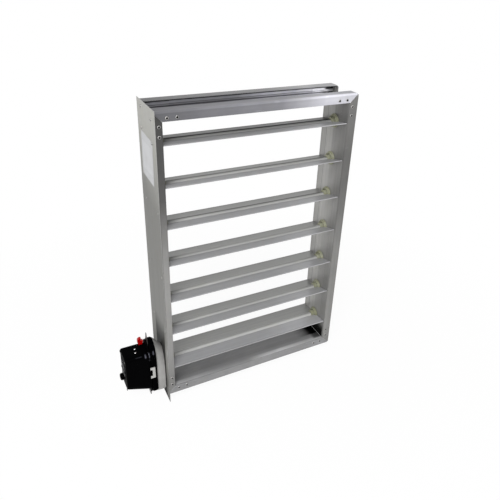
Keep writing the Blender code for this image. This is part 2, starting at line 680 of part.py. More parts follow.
def build_output(pivot, tilt):
    """Drive shaft, the actuator's output sleeve and the position dial, which turn together."""
    inner_end = -HUB_FACE + SPIGOT_LENGTH
    shaft = turned([(SHAFT_END, 0), (SHAFT_END, SHAFT_RADIUS), (inner_end, SHAFT_RADIUS), (inner_end, 0)])
    finish("drive_shaft", shaft, STEEL, 0.3, 1.0, parent=pivot, turn=tilt)
    near = BASE_NEAR - SEAT
    bore = SHAFT_RADIUS + SEAT
    sleeve = turned([(SHAFT_END, bore), (SHAFT_END, OUTPUT_RADIUS), (near, OUTPUT_RADIUS), (near, bore)])
    finish("output_sleeve", sleeve, PALE_PLASTIC, 0.5, parent=pivot, turn=tilt)
    face = HOUSING_FAR - DIAL_STANDOUT
    dial = turned([(DIAL_SEAT - SEAT, 0), (DIAL_SEAT - SEAT, DIAL_RADIUS), (face, DIAL_RADIUS), (face, 0)], 36)
    dial = finish("position_dial", dial, BLACK_PLASTIC, 0.4, parent=pivot, turn=tilt)
    pointer = box((face - POINTER_STANDOUT, -POINTER_REACH, -POINTER_WIDTH / 2),
                  (face + DIAL_THICKNESS / 2, POINTER_REACH, POINTER_WIDTH / 2))
    combine(dial, [pointer], "UNION")


def build_button(pivot):
    """Red release button with a round head, notched towards the strap; it slides down into the case."""
    half = BUTTON_WIDTH / 2
    neck = half * BUTTON_HEAD[0][0]
    outline = [(-neck, -BUTTON_SEATED), (neck, -BUTTON_SEATED)]
    outline += [(half * across, BUTTON_STANDOUT * up) for across, up, corner in BUTTON_HEAD]
    radii = [BEND_RADIUS, BEND_RADIUS] + [half * corner for across, up, corner in BUTTON_HEAD]
    outline = fillet(outline, radii)
    bm = prism(outline, -BUTTON_DEPTH / 2, BUTTON_DEPTH / 2, on_y)
    middle = HOUSING_NEAR - BUTTON_INSET
    finish("release_button", bm, RED_PLASTIC, 0.3, parent=pivot, location=(middle, BUTTON_BEHIND, HOUSING_TOP))


def build_clip(pivot):
    """Pale C-shaped retaining clip on the front of the actuator's base."""
    half = CLIP_HEIGHT / 2
    right = BASE_NEAR - CLIP_INSET
    left = right - CLIP_WIDTH
    middle = -CLIP_BELOW
    outline = [(left, middle - half), (right, middle - half), (right, middle + half), (left, middle + half),
               (left, middle + half - CLIP_BAR), (right - CLIP_BAR, middle + half - CLIP_BAR),
               (right - CLIP_BAR, middle - half + CLIP_BAR), (left, middle - half + CLIP_BAR)]
    outline = fillet(outline, [CLIP_CORNER] * 8, steps=3)
    front = -BASE_HALF_WIDTH - RIB_HEIGHT - SEAT
    bm = prism(outline, front - CLIP_THICKNESS, front, on_y)
    finish("retaining_clip", bm, PALE_PLASTIC, 0.5, parent=pivot)


def build_gland(pivot):
    """Cable gland on the actuator's far face; no cable is fitted."""
    near = HOUSING_FAR - SEAT
    far = near - GLAND_LENGTH
    step = GLAND_LENGTH / 3
    profile = [(near, GLAND_BORE_RADIUS), (near, GLAND_RADIUS), (near - 2 * step, GLAND_RADIUS),
               (far, GLAND_TIP_RADIUS), (far, GLAND_BORE_RADIUS)]
    finish("cable_gland", turned(profile), BLACK_PLASTIC, 0.4, parent=pivot,
           location=(0, GLAND_BEHIND, -GLAND_BELOW))


def main():
    for item in list(bpy.data.objects):
        bpy.data.objects.remove(item, do_unlink=True)
    build_frame()
    build_cleats()
    build_cover_plate()
    for index in range(BLADE_COUNT):
        number = index + 1
        pivot = bpy.data.objects.new(f"axis_{number}", None)
        bpy.context.collection.objects.link(pivot)
        pivot.location = (0, MIDDLE_Y, axis_z(index))
        tilt = rest_tilt(index)
        build_blade(number, pivot, tilt)
        build_hubs(number, pivot, tilt)
        build_crank(number, pivot)
        if index == 0:
            build_output(pivot, tilt)
    build_link()
    mount = bpy.data.objects.new("actuator_mount", None)
    bpy.context.collection.objects.link(mount)
    mount.location = (0, MIDDLE_Y, DRIVE_Z)
    for build in (build_adapter, build_base, build_bracket, build_housing, build_button, build_clip,
                  build_gland):
        build(mount)


main()
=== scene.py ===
"""Looks of the zone damper: metal, plastic and nylon finishes, fasteners, camera and studio.

Units are metres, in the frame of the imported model: X across the airway, Y along the air flow, Z up.
"""
import json
import math

import bmesh
import bpy
from mathutils import Matrix, Vector

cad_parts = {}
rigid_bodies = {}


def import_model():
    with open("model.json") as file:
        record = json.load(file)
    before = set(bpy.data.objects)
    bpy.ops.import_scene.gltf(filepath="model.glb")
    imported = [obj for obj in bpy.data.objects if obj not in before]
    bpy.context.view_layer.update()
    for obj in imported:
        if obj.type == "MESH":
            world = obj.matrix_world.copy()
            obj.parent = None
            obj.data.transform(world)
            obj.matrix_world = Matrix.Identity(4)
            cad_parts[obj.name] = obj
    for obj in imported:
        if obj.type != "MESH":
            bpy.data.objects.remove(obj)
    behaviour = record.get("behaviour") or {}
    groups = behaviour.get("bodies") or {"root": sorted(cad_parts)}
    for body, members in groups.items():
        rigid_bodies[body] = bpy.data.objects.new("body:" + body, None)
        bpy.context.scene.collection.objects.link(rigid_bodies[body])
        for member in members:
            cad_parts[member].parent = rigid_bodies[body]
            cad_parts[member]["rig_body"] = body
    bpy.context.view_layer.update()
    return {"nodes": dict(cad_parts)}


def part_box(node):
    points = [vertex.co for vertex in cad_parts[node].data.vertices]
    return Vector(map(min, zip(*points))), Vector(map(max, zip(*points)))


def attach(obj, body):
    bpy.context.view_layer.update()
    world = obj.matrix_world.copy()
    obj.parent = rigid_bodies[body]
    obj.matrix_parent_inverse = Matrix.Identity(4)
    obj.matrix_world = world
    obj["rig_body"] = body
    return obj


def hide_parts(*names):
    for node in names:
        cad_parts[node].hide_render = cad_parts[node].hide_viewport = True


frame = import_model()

NODES = frame["nodes"]

# Sizes shared with the solids

BLADES = range(1, 8)
DEPTH = 0.110
MIDDLE_Y = -DEPTH / 2
DRIVE_Z = 0.0695            # axis of the bottom blade
PITCH = 0.100
TOP_Z = 0.7275              # airway's top, bottom and side faces
BOTTOM_Z = 0.0115
SIDE_X = 0.231
PLATE_X = -0.2475           # outer face of the cover plate


# Node graphs

AXES = {"x": 0, "y": 1, "z": 2}
WHITE = (1.0, 1.0, 1.0, 1.0)
NOISE_RANGE = (0.3, 0.7)    # where most of a noise's values lie


class Graph:
    """A node tree with short names for adding and wiring its nodes."""

    def __init__(self, tree):
        self.tree = tree

    def add(self, kind, **settings):
        node = self.tree.nodes.new(kind)
        for key, value in settings.items():
            setattr(node, key, value)
        return node

    def feed(self, socket, value):
        """Wire an output into a socket, or write a plain number there."""
        if isinstance(value, bpy.types.NodeSocket):
            self.tree.links.new(value, socket)
        else:
            socket.default_value = value

    def span(self, value, low, high, out_low=0.0, out_high=1.0):
        node = self.add("ShaderNodeMapRange", clamp=True)
        for key, number in (("From Min", low), ("From Max", high), ("To Min", out_low), ("To Max", out_high)):
            node.inputs[key].default_value = number
        self.feed(node.inputs["Value"], value)
        return node.outputs[0]

    def swing(self, noise, out_low=0.0, out_high=1.0):
        """A noise's usual range, turned into another range."""
        return self.span(noise, *NOISE_RANGE, out_low, out_high)

    def calc(self, operation, first, second):
        node = self.add("ShaderNodeMath", operation=operation)
        self.feed(node.inputs[0], first)
        self.feed(node.inputs[1], second)
        return node.outputs[0]

    def shown(self):
        """Factor that is 1 for camera, glossy and transmission rays."""
        rays = self.add("ShaderNodeLightPath").outputs
        seen = self.calc("MAXIMUM", rays["Is Camera Ray"], rays["Is Glossy Ray"])
        return self.calc("MAXIMUM", seen, rays["Is Transmission Ray"])


class Look(Graph):
    """A Principled material that is painted in the part's own coordinates."""

    def __init__(self, name, color, roughness, metallic=0.0):
        self.material = bpy.data.materials.new(name)
        self.material.use_nodes = True
        super().__init__(self.material.node_tree)
        self.shader = self.tree.nodes["Principled BSDF"]
        self.set("Base Color", opaque(color))
        self.set("Roughness", roughness)
        self.set("Metallic", metallic)
        self.coords = self.add("ShaderNodeTexCoord").outputs["Object"]

    def set(self, socket, value):
        self.shader.inputs[socket].default_value = value

    def coordinate(self, axis):
        parts = self.add("ShaderNodeSeparateXYZ")
        self.feed(parts.inputs[0], self.coords)
        return parts.outputs[AXES[axis]]

    def stretch(self, scale, turn=(0.0, 0.0, 0.0)):
        node = self.add("ShaderNodeMapping")
        node.inputs["Scale"].default_value = scale
        node.inputs["Rotation"].default_value = turn
        self.feed(node.inputs["Vector"], self.coords)
        return node.outputs["Vector"]

    def noise(self, scale, detail=3.0, rough=0.5, vector=None):
        node = self.add("ShaderNodeTexNoise")
        node.inputs["Scale"].default_value = scale
        node.inputs["Detail"].default_value = detail
        node.inputs["Roughness"].default_value = rough
        self.feed(node.inputs["Vector"], vector or self.coords)
        return node.outputs[0]

    def mix(self, factor, first, second, blend="MIX"):
        node = self.add("ShaderNodeMix", data_type="RGBA", blend_type=blend)
        self.feed(node.inputs[0], factor)
        self.feed(node.inputs[6], first)
        self.feed(node.inputs[7], second)
        return node.outputs[2]

    def bump(self, height, strength, distance, below=None):
        node = self.add("ShaderNodeBump")
        node.inputs["Strength"].default_value = strength
        node.inputs["Distance"].default_value = distance
        self.feed(node.inputs["Height"], height)
        if below is not None:
            self.feed(node.inputs["Normal"], below)
        return node.outputs["Normal"]

    def paint(self, **outputs):
        """Wire outputs into the shader; a name's underscore stands for a space."""
        for key, value in outputs.items():
            self.feed(self.shader.inputs[key.replace("_", " ")], value)
        return self.material


def opaque(color):
    return (*color, 1.0)


def tone(color, factor):
    """A colour made darker or paler."""
    return opaque(min(1.0, part * factor) for part in color)


def tinted(color, shares):
    """A colour with a factor for each of its three parts."""
    return opaque(part * share for part, share in zip(color, shares))


def along(axis, slow, fast):
    """Scale that is slow along one axis and fast along the others."""
    scale = [fast] * 3
    scale[AXES[axis]] = slow
    return scale


# Drifts of tone, from (place, factor) stops along an axis, and windows, from (axis, low, high) limits

STOP_SCALE = 4.0            # ramp colours hold a factor divided by this
WANDER = 0.3                # a drift's wander, as a share of the smallest distance between its stops
WANDER_SCALE = 5.0
FADE = 0.004                # distance over which a window's edge fades


def drift(look, axis, stops):
    """Change of tone along an axis, with a slightly wandering course."""
    first, last = stops[0][0], stops[-1][0]
    loose = WANDER * min(after[0] - before[0] for before, after in zip(stops, stops[1:]))
    wander = look.swing(look.noise(WANDER_SCALE), -loose, loose)
    place = look.span(look.calc("ADD", look.coordinate(axis), wander), first, last)
    ramp = look.add("ShaderNodeValToRGB")
    points = ramp.color_ramp.elements
    for index, (level, factor) in enumerate(stops):
        if index >= 2:
            points.new(1.0)
        points[index].position = (level - first) / (last - first)
        points[index].color = opaque([factor / STOP_SCALE] * 3)
    look.feed(ramp.inputs[0], place)
    return look.calc("MULTIPLY", ramp.outputs[0], STOP_SCALE)


def window(look, limits, widest=FADE):
    """1 inside all limits, 0 outside, with soft edges."""
    inside = 1.0
    for axis, low, high in limits:
        fade = min(widest, (high - low) / 4)
        place = look.coordinate(axis)
        rise = look.span(place, low, low + fade)
        fall = look.span(place, high - fade, high, 1.0, 0.0)
        inside = look.calc("MULTIPLY", look.calc("MULTIPLY", rise, fall), inside)
    return inside


def shaded(look, start, tones):
    """A colour times its tones, each an (axis, stops) drift or one kept inside limits."""
    for axis, stops, *limits in tones:
        share = window(look, limits[0]) if limits else 1.0
        start = look.mix(share, start, drift(look, axis, stops), "MULTIPLY")
    return start


# Finishes, with noise scales per metre

METAL_SHARE = 0.4           # bare aluminium with its dull oxide
SPECULAR = 0.5
BAND_SCALES = (1.5, 160)    # broad die bands, along and across the grain
BAND_TONE = 0.55
LINE_SCALES = (6, 1400)     # fine die lines
LINE_TONE = 1.35
LINE_SHARE = 0.7            # strength of the lines, as a share of the bands'
SCRATCH_SCALES = (30, 900, 60)
SCRATCH_TURN = (0.5, 0.35, 0.2)
SCRATCH_LIMITS = (0.70, 0.74)
SCRATCH_TONE = 1.5
SCRATCH_SHARE = 0.25
CLOUD_LIMITS = (0.34, 0.66)
MARK_LIMITS = (0.45, 0.75)
MARK_SHARE = 0.6
WARMTH = (1.03, 1.02, 0.95)
BRUSHING = 0.6              # how far the die lines stretch a reflection
QUARTER_TURN = 0.25
TARNISH = (1.08, 1.04, 1.0)
SPANGLE_SCALE = 240.0
SPANGLE_SHARE = 0.25
YELLOWING = (0.7, 0.7, 0.6)
DUST_COLOR = (0.32, 0.31, 0.29)
HIGHLIGHT_COLOR = (0.085, 0.085, 0.105)


def mill_metal(name, color, axis, roughness=0.42, cloud=0.30, streak=0.2, tones=(), dull=(), tint=None,
               metallic=METAL_SHARE):
    """Mill-finish sheet or extrusion: die lines along an axis, clouding, rubbed marks and fine scratches.

    tones paint light and shade into the colour, dull takes its shine away in places, and tint is a (colour,
    limits) cast of painted light.
    """
    look = Look(name, color, roughness, metallic)
    bands = look.noise(1.0, vector=look.stretch(along(axis, *BAND_SCALES)))
    lines = look.noise(1.0, detail=2.0, vector=look.stretch(along(axis, *LINE_SCALES)))
    clouds = look.noise(6.0, detail=5.0, rough=0.6)
    marks = look.noise(38.0, detail=4.0, rough=0.65)
    scratches = look.noise(1.0, detail=1.0, vector=look.stretch(SCRATCH_SCALES, SCRATCH_TURN))
    scratches = look.span(scratches, *SCRATCH_LIMITS)
    body = look.mix(look.span(clouds, *CLOUD_LIMITS), tone(color, 1 - cloud / 2), tone(color, 1 + cloud / 2))
    body = look.mix(look.span(marks, *MARK_LIMITS, 0.0, MARK_SHARE), body, tinted(color, WARMTH))
    body = look.mix(look.swing(bands, 0.0, streak), body, tone(color, BAND_TONE))
    body = look.mix(look.swing(lines, 0.0, streak * LINE_SHARE), body, tone(color, LINE_TONE))
    body = look.mix(look.calc("MULTIPLY", scratches, SCRATCH_SHARE), body, tone(color, SCRATCH_TONE))
    body = shaded(look, body, tones)
    if tint:
        cast, limits = tint
        body = look.mix(window(look, limits), body, opaque(cast), "MULTIPLY")
    if dull:
        shine = shaded(look, WHITE, dull)
        look.paint(Metallic=look.calc("MULTIPLY", shine, metallic),
                   Specular_IOR_Level=look.calc("MULTIPLY", shine, SPECULAR))
    rough = look.swing(clouds, roughness - 0.06, roughness + 0.07)
    rough = look.calc("ADD", rough, look.swing(lines, -0.05, 0.05))
    rough = look.calc("SUBTRACT", rough, look.calc("MULTIPLY", scratches, 0.08))
    relief = look.bump(lines, strength=0.10, distance=0.0002)
    relief = look.bump(bands, strength=0.10, distance=0.0006, below=relief)
    relief = look.bump(marks, strength=0.05, distance=0.0006, below=relief)
    grain = look.add("ShaderNodeCombineXYZ")
    grain.inputs[AXES[axis]].default_value = 1.0
    look.set("Anisotropic", BRUSHING)
    look.set("Anisotropic Rotation", QUARTER_TURN)
    return look.paint(Base_Color=body, Roughness=rough, Normal=relief, Tangent=grain.outputs[0])


def cut_edge(name, color):
    """Sheared or rubbed edge, brighter and smoother than the faces beside it."""
    look = Look(name, color, roughness=0.30, metallic=0.75)
    nicks = look.noise(180.0, detail=4.0, rough=0.7)
    body = look.mix(look.span(nicks, 0.35, 0.7), tone(color, 1.1), tone(color, 0.7))
    relief = look.bump(nicks, strength=0.1, distance=0.0003)
    return look.paint(Base_Color=body, Roughness=look.swing(nicks, 0.24, 0.42), Normal=relief)


def plated_steel(name, color, roughness=0.36):
    """Zinc plate on sheet steel: small soft spangle and a faint tarnish."""
    look = Look(name, color, roughness, metallic=1.0)
    cells = look.add("ShaderNodeTexVoronoi")
    cells.inputs["Scale"].default_value = SPANGLE_SCALE
    look.feed(cells.inputs["Vector"], look.coords)
    tarnish = look.noise(30.0)
    grain = look.noise(700.0, detail=2.0)
    body = look.mix(look.span(tarnish, 0.35, 0.65), tone(color, 0.85), tinted(color, TARNISH))
    spangle = look.span(cells.outputs["Distance"], 0.0, 0.8, 0.0, SPANGLE_SHARE)
    body = look.mix(spangle, body, tone(color, 1.25))
    rough = look.swing(tarnish, roughness - 0.07, roughness + 0.09)
    relief = look.bump(grain, strength=0.08, distance=0.0002)
    return look.paint(Base_Color=body, Roughness=rough, Normal=relief)


def moulded(name, color, roughness, grain, shine=SPECULAR, dust=0.0, highlights=()):
    """Moulded plastic: spark-eroded grain, slight flow marks, dust on upward faces, places painted paler as
    highlights.
    """
    look = Look(name, color, roughness)
    fine = look.noise(1600.0, detail=2.0, rough=0.6)
    flow = look.noise(22.0, rough=0.55)
    body = look.mix(look.swing(flow), tone(color, 0.88), tone(color, 1.12))
    if dust:
        up = look.add("ShaderNodeSeparateXYZ")
        look.feed(up.inputs[0], look.add("ShaderNodeNewGeometry").outputs["Normal"])
        patches = look.span(look.noise(45.0, detail=4.0), 0.4, 0.7)
        film = look.calc("MULTIPLY", look.span(up.outputs["Z"], 0.2, 1.0), patches)
        body = look.mix(look.calc("MULTIPLY", film, dust), body, opaque(DUST_COLOR))
    # each window gets a patchy painted highlight
    for limits in highlights:
        rubbed = look.span(look.noise(160.0), 0.2, 0.6, 0.4, 1.0)
        body = look.mix(look.calc("MULTIPLY", window(look, limits), rubbed), body, opaque(HIGHLIGHT_COLOR))
    rough = look.swing(flow, roughness - 0.06, roughness + 0.08)
    relief = look.bump(fine, strength=grain, distance=0.0002)
    look.set("Specular IOR Level", shine)
    return look.paint(Base_Color=body, Roughness=rough, Normal=relief)


def nylon(name, color):
    """Natural nylon that has yellowed unevenly and is slightly translucent."""
    look = Look(name, color, roughness=0.42)
    stain = look.noise(55.0, detail=4.0, rough=0.6)
    fine = look.noise(900.0, detail=2.0)
    body = look.mix(look.span(stain, 0.35, 0.68), opaque(color), tinted(color, YELLOWING))
    look.set("Subsurface Weight", 0.12)
    look.set("Subsurface Radius", (0.004, 0.003, 0.002))
    look.set("Subsurface Scale", 0.4)
    relief = look.bump(fine, strength=0.08, distance=0.0003)
    return look.paint(Base_Color=body, Roughness=look.swing(stain, 0.36, 0.52), Normal=relief)


# Places on the part, as limits of windows. The tones kept in them, and the drifts along the part, stand
# for reflections and shadows of the photo that plain studio light doesn't give.

FRONT_FLANGE = ("y", -0.12, -0.104)
REAR_FLANGE = ("y", -0.005, 0.01)
BEHIND_FRONT = ("y", -0.108, 0.01)
TOP_SURFACE = ("z", 0.7460, 0.76)       # upper skin of the top rail
BOTTOM_SURFACE = ("z", 0.0, 0.0145)     # web of the bottom rail
FRONT_WING = ("y", -0.12, -0.062)
REAR_WING = ("y", -0.05, 0.01)
TOP_BLADE = ("z", 0.64, 0.70)
NEXT_BLADES = ("z", 0.44, 0.60)
COOL_FRONT_LIGHT = ((0.985, 0.985, 1.04), (FRONT_WING,))      # painted bluish light on what faces the front

# Materials of the frame

# Painted light on the top rail, paler to the right and on its front lip; painted shade keeps its upper skin
# and rear flange darker to the right
DIM_RIGHT = ((0.0, 1.0), (0.10, 0.75), (0.20, 0.6))     # stops of a drift: painted shade, darker to the right
TOP_RAIL = mill_metal("top_rail_metal", (0.290, 0.290, 0.298), "x", tint=COOL_FRONT_LIGHT, tones=(
    ("x", ((-0.25, 0.36), (-0.14, 0.56), (-0.02, 0.68), (0.05, 0.78), (0.09, 1.20), (0.16, 2.1),
           (0.25, 1.95))),
    ("z", ((0.7275, 0.96), (0.7450, 0.96), (0.7465, 1.3), (0.7505, 1.3)), (FRONT_FLANGE,)),
    ("x", DIM_RIGHT, (TOP_SURFACE, ("y", -0.1085, 0.01))),
    ("x", DIM_RIGHT, (REAR_FLANGE,)),
))
CORNER_DARK_REFLECTION = (             # painted dark reflection in the inside corner, at the bottom on the idle side
    ("x", ((0.203, 1.0), (0.212, 0.1), (0.222, 0.02)), (("y", -0.103, -0.030), BOTTOM_SURFACE)),
    ("x", ((0.165, 1.0), (0.192, 0.55), (0.206, 0.1), (0.216, 0.02)),
     (("y", -0.082, -0.030), BOTTOM_SURFACE)),
)
# Painted light and shade on the bottom rail: its front lip paler, a painted shadow of the bottom blade across
# the web, and the front flange paler at both ends
BOTTOM_RAIL = mill_metal("bottom_rail_metal", (0.285, 0.285, 0.290), "x", tones=(
    ("y", ((-0.112, 0.85), (-0.109, 0.85), (-0.1060, 1.35), (-0.095, 0.95), (-0.080, 0.72), (-0.060, 1.05),
           (0.0, 1.0))),
    *CORNER_DARK_REFLECTION,
    ("x", ((-0.22, 1.5), (-0.12, 1.02), (0.0, 1.0), (0.10, 1.75), (0.20, 1.4)),
     (("y", -0.110, -0.094), ("z", 0.0, 0.0200))),
), dull=CORNER_DARK_REFLECTION)
# Painted shade: the drive side rail grows darkest towards the top, and a little darker at the bottom
DRIVE_RAIL = mill_metal("drive_rail_metal", (0.285, 0.282, 0.276), "z", tones=(
    ("z", ((0.0, 0.74), (0.12, 0.90), (0.28, 1.0), (0.42, 0.70), (0.50, 0.48), (0.57, 0.24),
           (0.75, 0.15))),
))
WEB_REFLECTION_AND_SHADE = (                # painted dark reflection at the foot of the idle side's web, and painted shade at the top of its rear flange
    ("z", ((0.036, 0.02), (0.048, 0.2), (0.060, 1.0)), (("y", -0.106, -0.045), ("x", 0.22, 0.236))),
    ("z", ((0.700, 1.0), (0.712, 0.03), (0.75, 0.03)), (("x", 0.232, 0.26), ("y", -0.0035, -0.0008))),
)
# Painted light and shade on the idle side rail: the web paler towards the rear with a thin painted shadow
# line, and the rail darker high up
IDLE_RAIL = mill_metal("idle_rail_metal", (0.270, 0.267, 0.260), "z", cloud=0.4, streak=0.4, tones=(
    ("z", ((0.0, 0.75), (0.10, 0.84), (0.25, 0.81), (0.35, 0.74), (0.45, 0.58), (0.55, 0.47), (0.66, 0.54),
           (0.75, 0.7)), (FRONT_FLANGE,)),
    ("y", ((-0.110, 1.0), (-0.100, 0.90), (-0.085, 1.0), (-0.070, 1.25), (-0.030, 1.75), (-0.0262, 1.75),
           (-0.0242, 0.9), (-0.0222, 1.5), (-0.012, 1.6), (0.0, 1.1))),
    ("z", ((0.25, 1.0), (0.55, 1.0), (0.66, 0.80), (0.75, 0.75)), (BEHIND_FRONT,)),
    ("z", ((0.25, 0.86), (0.35, 1.0), (0.45, 0.95), (0.55, 0.78), (0.66, 0.76)), (("y", -0.108, -0.050),)),
    *WEB_REFLECTION_AND_SHADE,
), dull=WEB_REFLECTION_AND_SHADE)
END_SHADE = (                # painted shade at the end of the top channel, with a pale tongue between its two parts
    ("x", ((0.224, 1.0), (0.232, 0.04), (0.25, 0.03)), (("z", 0.735, 0.7420), ("y", -0.020, 0.01))),
    ("x", ((0.215, 1.0), (0.224, 0.04), (0.25, 0.03)), (("z", 0.680, 0.7325), ("y", -0.045, 0.01))),
)
# Inside of the top channel: a paler copy of the rail's metal with painted light rising to the right, painted
# shadow lines under the lips and along the floor, and lip tops darker to the right
LIT_INSIDE = mill_metal("channel_inside_lit_metal", (0.50, 0.50, 0.53), "x", streak=0.3, tones=(
    ("z", ((0.7275, 0.35), (0.7295, 0.9), (0.7325, 0.9), (0.7340, 0.25), (0.7352, 1.0), (0.7395, 1.0),
           (0.7408, 0.05), (0.7435, 0.05), (0.7450, 1.1), (0.7505, 1.2)), (("y", -0.012, 0.01),)),
    ("y", ((-0.040, 0.2), (-0.031, 0.9), (-0.024, 1.0), (-0.021, 0.2), (-0.012, 0.9), (-0.004, 0.2)),
     (("z", 0.72, 0.732),)),
    ("x", ((-0.10, 1.0), (0.0, 1.15), (0.08, 1.9), (0.20, 2.4))),
    ("x", ((-0.10, 1.0), (0.10, 0.6), (0.20, 0.5)), (("z", 0.7430, 0.76),)),
    *END_SHADE,
), dull=END_SHADE)
ADAPTER_SHADOW = (                  # painted shadow of the actuator on the plate, beside its adapter
    ("z", ((0.00, 0.2), (0.13, 0.2), (0.165, 0.4), (0.21, 1.0)), (("y", -0.092, -0.015),)),
)
# Painted light and shade on the cover plate: darker and duller towards the bottom, paler at the top, and a
# paler strip along its front edge low down
PLATE = mill_metal("plate_metal", (0.200, 0.199, 0.188), "z", roughness=0.45, cloud=0.26, streak=0.12, tones=(
    ("z", ((-0.04, 0.45), (0.06, 0.80), (0.20, 0.78), (0.52, 0.76), (0.66, 1.35), (0.75, 1.75))),
    *ADAPTER_SHADOW,
    ("z", ((0.00, 1.3), (0.12, 1.9), (0.22, 1.0)), (("y", -0.12, -0.092),)),
), dull=(
    ("z", ((-0.04, 0.1), (0.10, 0.2), (0.22, 0.7), (0.60, 0.8), (0.70, 1.0))),
    *ADAPTER_SHADOW,
))
EDGE = cut_edge("cut_edge_metal", (0.46, 0.46, 0.46))
CLEAT = plated_steel("cleat_metal", (0.34, 0.34, 0.34))
FASTENER = plated_steel("fastener_metal", (0.42, 0.42, 0.42), roughness=0.30)

# Materials of the blades and their drive

CREST_SHADE = (              # painted shade: a dark line on the top blade's ridge, darkest to the right
    ("y", ((-0.0590, 1.0), (-0.0578, 0.25), (-0.0545, 0.25), (-0.0530, 1.0)), (TOP_BLADE,)),
    ("x", ((-0.08, 1.0), (0.08, 0.25), (0.23, 0.03)), (("y", -0.0582, -0.0478), TOP_BLADE)),
)
# Painted light and shade on the blades: lower blades paler, a painted highlight on each ridge's front flank
# with less shine there,
# painted shadow lines on and behind the ridges, front wings paler and the top blade's rear wing darker to the
# right
BLADE = mill_metal("blade_metal", (0.300, 0.301, 0.295), "x", roughness=0.40, cloud=0.18, streak=0.24,
                   tint=COOL_FRONT_LIGHT, tones=(
    ("z", ((0.05, 1.12), (0.20, 1.05), (0.60, 0.96), (0.70, 0.82))),
    ("y", ((-0.11, 1.12), (-0.0640, 1.05), (-0.0627, 1.4), (-0.0600, 1.4), (-0.0587, 1.05), (-0.0480, 0.95),
           (-0.0468, 0.5), (-0.0456, 0.95), (0.0, 0.95))),
    ("x", ((-0.20, 1.0), (0.05, 1.0), (0.14, 1.22), (0.22, 1.30)), (FRONT_WING,)),
    ("x", ((-0.25, 1.0), (-0.10, 0.80), (0.14, 0.62), (0.23, 0.6)), (REAR_WING, TOP_BLADE)),
    ("x", ((0.0, 1.0), (0.14, 1.15), (0.20, 1.3)), (FRONT_WING, TOP_BLADE)),
    ("y", ((-0.0580, 1.0), (-0.0565, 0.45), (-0.0540, 0.45), (-0.0520, 1.0)), (NEXT_BLADES,)),
    *CREST_SHADE,
), dull=(
    ("y", ((-0.11, 1.0), (-0.0640, 1.0), (-0.0627, 0.3), (-0.0600, 0.3), (-0.0587, 1.0), (0.0, 1.0))),
    *CREST_SHADE,
))
NYLON = nylon("hub_nylon", (0.30, 0.305, 0.225))
LINKAGE = plated_steel("linkage_metal", (0.42, 0.41, 0.38))
SHAFT = mill_metal("shaft_metal", (0.40, 0.40, 0.40), "x", roughness=0.28, cloud=0.1, metallic=1.0)

# Materials of the actuator

# Painted highlights on the case: its top front edge and the shoulders of three ribs are painted paler
HIGHLIGHT_FRONT = ("y", -0.0950, -0.0760)
CASE = moulded("case_plastic", (0.0006, 0.0006, 0.0008), roughness=0.48, grain=0.22, shine=0.008, highlights=(
    (("x", -0.3235, -0.3050), ("y", -0.0950, -0.0800), ("z", 0.1155, 0.1235)),
    (("x", -0.2995, -0.2945), HIGHLIGHT_FRONT, ("z", 0.1090, 0.1200)),
    (("x", -0.2890, -0.2840), HIGHLIGHT_FRONT, ("z", 0.1070, 0.1230)),
    (("x", -0.2790, -0.2740), HIGHLIGHT_FRONT, ("z", 0.1130, 0.1250)),
))
# Pale glossy plastic: a painted highlight on the case's edges, which also shine under the lamps, and the
# dial's ticks
CASE_HIGHLIGHT_AND_TICKS = moulded("case_highlight_and_tick_plastic", (0.05, 0.05, 0.06), roughness=0.25, grain=0.05, shine=0.8)
# Plated steel painted nearly black, as the shade on the anti-rotation strap; the case's screws share it
STRAP = plated_steel("strap_metal", (0.07, 0.07, 0.068), roughness=0.34)
DIAL = moulded("dial_plastic", (0.003, 0.003, 0.004), roughness=0.35, grain=0.15, shine=0.10)
ADAPTER = moulded("adapter_plastic", (0.340, 0.335, 0.325), roughness=0.5, grain=0.3, dust=0.10)
CLIP = moulded("clip_plastic", (0.36, 0.36, 0.345), roughness=0.42, grain=0.12)
SLEEVE = moulded("sleeve_plastic", (0.60, 0.60, 0.57), roughness=0.45, grain=0.12)
BUTTON = moulded("button_plastic", (0.36, 0.001, 0.001), roughness=0.30, grain=0.06, shine=0.3)
# Painted shade in the rivets' mandrel holes and the screws' hexagon sockets
DARK = moulded("painted_recess_shade", (0.010, 0.010, 0.010), roughness=0.7, grain=0.2, shine=0.2)


# Mesh helpers

SMOOTH_ANGLE = math.radians(38)     # edges sharper than this stay sharp in the shading
EDGE_ANGLE = math.radians(35)       # edges sharper than this are rounded
FLAT_ANGLE = math.radians(0.4)      # faces that meet at less than this become one
WELD = 1e-6                         # points closer than this are one


def new_piece(name, bm, materials, body):
    """A visible piece on a body, from a bmesh that this call uses up."""
    mesh = bpy.data.meshes.new(name)
    bm.to_mesh(mesh)
    bm.free()
    for material in materials:
        mesh.materials.append(material)
    mesh.shade_smooth()
    mesh.set_sharp_from_angle(angle=SMOOTH_ANGLE)
    piece = bpy.data.objects.new(name, mesh)
    bpy.context.scene.collection.objects.link(piece)
    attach(piece, body)
    return piece


def gather(target, part):
    """Move a part's mesh into a target mesh."""
    mesh = bpy.data.meshes.new("part")
    part.to_mesh(mesh)
    part.free()
    target.from_mesh(mesh)
    bpy.data.meshes.remove(mesh)


def within(face, limits):
    """Whether a face's middle lies between two corners of a box."""
    low, high = limits
    middle = face.calc_center_median()
    return all(low[k] < middle[k] < high[k] for k in range(3))


